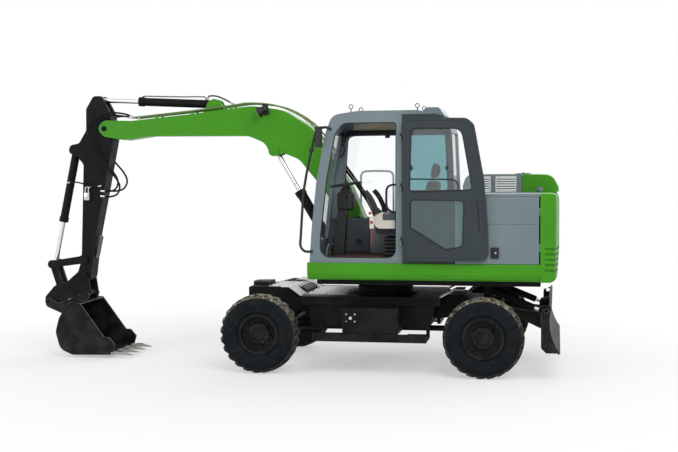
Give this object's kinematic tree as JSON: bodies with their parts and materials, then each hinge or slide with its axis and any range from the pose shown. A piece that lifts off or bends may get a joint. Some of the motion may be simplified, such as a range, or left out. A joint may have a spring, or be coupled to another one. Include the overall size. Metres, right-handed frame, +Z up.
{
  "type": "wheeled excavator",
  "caption": "Wheeled excavator with a swinging cab, a boom, stick and bucket worked by cylinders, a steered front axle and a rear dozer blade.",
  "frame": {"origin": "on the ground, under the middle of the machine's overall box", "axes": "+X forward along the boom, +Y to the machine's left, +Z up"},
  "size_m": [6.0665, 2.1, 3.073],
  "materials": {
    "green_paint": "gloss paint",
    "grey_paint": "gloss paint",
    "dark_grey_paint": "satin paint",
    "light_grey_paint": "satin paint",
    "black_paint": "satin paint",
    "rim_paint": "satin paint",
    "tyre_rubber": "matt",
    "chrome_rod": "polished",
    "engine_metal": "rough",
    "tinted_glass": "clear",
    "seat_cloth": "woven",
    "console_plastic": "matt",
    "dark_plastic": "matt",
    "pipe_metal": "satin"
  },
  "bodies": {
    "chassis": {"chassis_frame": "black_paint", "chassis_spine": "black_paint", "blade_mount": "black_paint", "front_axle": "black_paint", "rear_axle": "black_paint", "driveline": "black_paint", "slew_ring": "black_paint", "side_steps": "black_paint", "tool_boxes": "black_paint", "fender_plates": "light_grey_paint"},
    "tool_box_door": {"tool_box_door": "black_paint"},
    "knuckle_left": {"knuckle_left": "black_paint"},
    "knuckle_right": {"knuckle_right": "black_paint"},
    "tie_rod": {"tie_rod": "black_paint"},
    "wheel_fl": {"rim_fl": "rim_paint", "tyre_fl": "tyre_rubber"},
    "wheel_fr": {"rim_fr": "rim_paint", "tyre_fr": "tyre_rubber"},
    "wheel_rl": {"rim_rl": "rim_paint", "tyre_rl": "tyre_rubber"},
    "wheel_rr": {"rim_rr": "rim_paint", "tyre_rr": "tyre_rubber"},
    "blade": {"blade": "black_paint"},
    "blade_barrels": {"blade_barrels": "black_paint"},
    "blade_rods": {"blade_rods": "chrome_rod"},
    "upper": {"upper_frame": "black_paint", "skirts": "green_paint", "counterweight": "green_paint", "house_panels": "grey_paint", "power_unit": "engine_metal", "tank_housing": "grey_paint", "cab_frame": "grey_paint", "cab_roof": "grey_paint", "cab_glass": "tinted_glass", "seat": "seat_cloth", "consoles": "console_plastic", "steering_column": "dark_plastic", "rails_mirrors": "dark_plastic", "right_rail": "light_grey_paint"},
    "engine_hood": {"engine_hood": "grey_paint"},
    "side_door": {"side_door": "grey_paint"},
    "cab_door": {"cab_door": "dark_grey_paint", "cab_door_glass": "tinted_glass"},
    "boom": {"boom": "green_paint", "boom_pipes": "pipe_metal", "boom_lamp": "dark_plastic"},
    "boom_barrel": {"boom_barrel": "black_paint"},
    "boom_rod": {"boom_rod": "chrome_rod"},
    "stick_barrel": {"stick_barrel": "black_paint"},
    "stick_rod": {"stick_rod": "chrome_rod"},
    "stick": {"stick": "black_paint"},
    "bucket_barrel": {"bucket_barrel": "black_paint"},
    "bucket_rod": {"bucket_rod": "chrome_rod"},
    "rocker": {"rocker": "black_paint"},
    "bucket_link": {"bucket_link": "black_paint"},
    "bucket": {"coupler": "black_paint", "bucket": "black_paint"}
  },
  "joints": [
    {"name": "swing", "type": "hinge", "parent": "chassis", "child": "upper", "pos_m": [-1.103, 0, 0.956], "axis": [0, 0, 1], "continuous": true},
    {"name": "boom_lift", "type": "hinge", "parent": "upper", "child": "boom", "pos_m": [-0.808, -0.06, 1.549], "axis": [0, -1, 0], "range_deg": [-50, 30]},
    {"name": "stick_fold", "type": "hinge", "parent": "boom", "child": "stick", "pos_m": [2.236, -0.06, 2.684], "axis": [0, 1, 0], "range_deg": [-50, 32]},
    {"name": "bucket_curl", "type": "hinge", "parent": "stick", "child": "bucket", "pos_m": [2.535, -0.06, 0.939], "axis": [0, 1, 0], "range_deg": [-65, 55]},
    {"name": "boom_barrel_tilt", "type": "hinge", "parent": "upper", "child": "boom_barrel", "pos_m": [-0.503, -0.06, 1.249], "axis": [0, -1, 0], "range_deg": [-49.04, 29.5]},
    {"name": "boom_rod_slide", "type": "slide", "parent": "boom_barrel", "child": "boom_rod", "axis": [0.5085, 0, 0.8611], "range_m": [-0.3487, 0.2096]},
    {"name": "stick_barrel_tilt", "type": "hinge", "parent": "boom", "child": "stick_barrel", "pos_m": [0.902, -0.06, 2.952], "axis": [0, 1, 0], "range_deg": [-2.14, 1.44]},
    {"name": "stick_rod_slide", "type": "slide", "parent": "stick_barrel", "child": "stick_rod", "axis": [0.9987, 0, 0.0512], "range_m": [-0.2855, 0.1831]},
    {"name": "bucket_barrel_tilt", "type": "hinge", "parent": "stick", "child": "bucket_barrel", "pos_m": [2.633, -0.06, 2.446], "axis": [0, 1, 0], "range_deg": [-4.49, 3.83]},
    {"name": "bucket_rod_slide", "type": "slide", "parent": "bucket_barrel", "child": "bucket_rod", "axis": [0.2123, 0, -0.9772], "range_m": [-0.3448, 0.2919]},
    {"name": "rocker_turn", "type": "hinge", "parent": "stick", "child": "rocker", "pos_m": [2.531, -0.06, 1.132], "axis": [0, 1, 0], "range_deg": [-55.13, 46.68]},
    {"name": "link_turn", "type": "hinge", "parent": "rocker", "child": "bucket_link", "pos_m": [2.931, -0.06, 1.074], "axis": [0, 1, 0], "range_deg": [-28.15, 33.23]},
    {"name": "steer_left", "type": "hinge", "parent": "chassis", "child": "knuckle_left", "pos_m": [0.14, 0.69, 0.425], "axis": [0, 0, 1], "range_deg": [-30, 30]},
    {"name": "steer_right", "type": "hinge", "parent": "chassis", "child": "knuckle_right", "pos_m": [0.14, -0.69, 0.425], "axis": [0, 0, 1], "range_deg": [-30.2, 30.2]},
    {"name": "tie_rod_turn", "type": "hinge", "parent": "knuckle_left", "child": "tie_rod", "pos_m": [-0.05, 0.69, 0.475], "axis": [0, 0, 1], "range_deg": [-30.2, 30.2]},
    {"name": "wheel_fl_spin", "type": "hinge", "parent": "knuckle_left", "child": "wheel_fl", "pos_m": [0.14, 0.9025, 0.425], "axis": [0, 1, 0], "continuous": true},
    {"name": "wheel_fr_spin", "type": "hinge", "parent": "knuckle_right", "child": "wheel_fr", "pos_m": [0.14, -0.9025, 0.425], "axis": [0, 1, 0], "continuous": true},
    {"name": "wheel_rl_spin", "type": "hinge", "parent": "chassis", "child": "wheel_rl", "pos_m": [-2.26, 0.9025, 0.425], "axis": [0, 1, 0], "continuous": true},
    {"name": "wheel_rr_spin", "type": "hinge", "parent": "chassis", "child": "wheel_rr", "pos_m": [-2.26, -0.9025, 0.425], "axis": [0, 1, 0], "continuous": true},
    {"name": "blade_lift", "type": "hinge", "parent": "chassis", "child": "blade", "pos_m": [-2.393, 0, 0.65], "axis": [0, 1, 0], "range_deg": [-35, 8]},
    {"name": "blade_barrel_tilt", "type": "hinge", "parent": "chassis", "child": "blade_barrels", "pos_m": [-2.293, 0, 0.885], "axis": [0, 1, 0], "range_deg": [-23.97, 5.63]},
    {"name": "blade_rod_slide", "type": "slide", "parent": "blade_barrels", "child": "blade_rods", "axis": [-0.9255, 0, -0.3788], "range_m": [-0.0215, 0.0907]},
    {"name": "cab_door_swing", "type": "hinge", "parent": "upper", "child": "cab_door", "pos_m": [-1.415, 1.003, 1.9], "axis": [0, 0, 1], "range_deg": [-178, 0]},
    {"name": "side_door_swing", "type": "hinge", "parent": "upper", "child": "side_door", "pos_m": [-2.836, 0.972, 1.55], "axis": [0, 0, 1], "range_deg": [0, 90]},
    {"name": "hood_lift", "type": "hinge", "parent": "upper", "child": "engine_hood", "pos_m": [-2.631, -0.45, 2.13], "axis": [0, -1, 0], "range_deg": [0, 60]},
    {"name": "tool_box_door_swing", "type": "hinge", "parent": "chassis", "child": "tool_box_door", "pos_m": [-1.36, 0.928, 0.58], "axis": [0, 0, 1], "range_deg": [0, 100]}
  ],
  "couplings": [
    {"joint": "boom_barrel_tilt", "follows": "boom_lift", "ratio": 0.97677},
    {"joint": "boom_rod_slide", "follows": "boom_lift", "m_per_rad": 0.39846},
    {"joint": "stick_barrel_tilt", "follows": "stick_fold", "ratio": 0.038724},
    {"joint": "stick_rod_slide", "follows": "stick_fold", "m_per_rad": 0.32607},
    {"joint": "bucket_barrel_tilt", "follows": "bucket_curl", "ratio": 0.066049},
    {"joint": "bucket_rod_slide", "follows": "bucket_curl", "m_per_rad": 0.30302},
    {"joint": "rocker_turn", "follows": "bucket_curl", "ratio": 0.84516},
    {"joint": "link_turn", "follows": "bucket_curl", "ratio": -0.50812},
    {"joint": "steer_right", "follows": "steer_left", "ratio": 1},
    {"joint": "tie_rod_turn", "follows": "steer_left", "ratio": -1},
    {"joint": "blade_barrel_tilt", "follows": "blade_lift", "ratio": 0.67926},
    {"joint": "blade_rod_slide", "follows": "blade_lift", "m_per_rad": -0.14692}
  ]
}
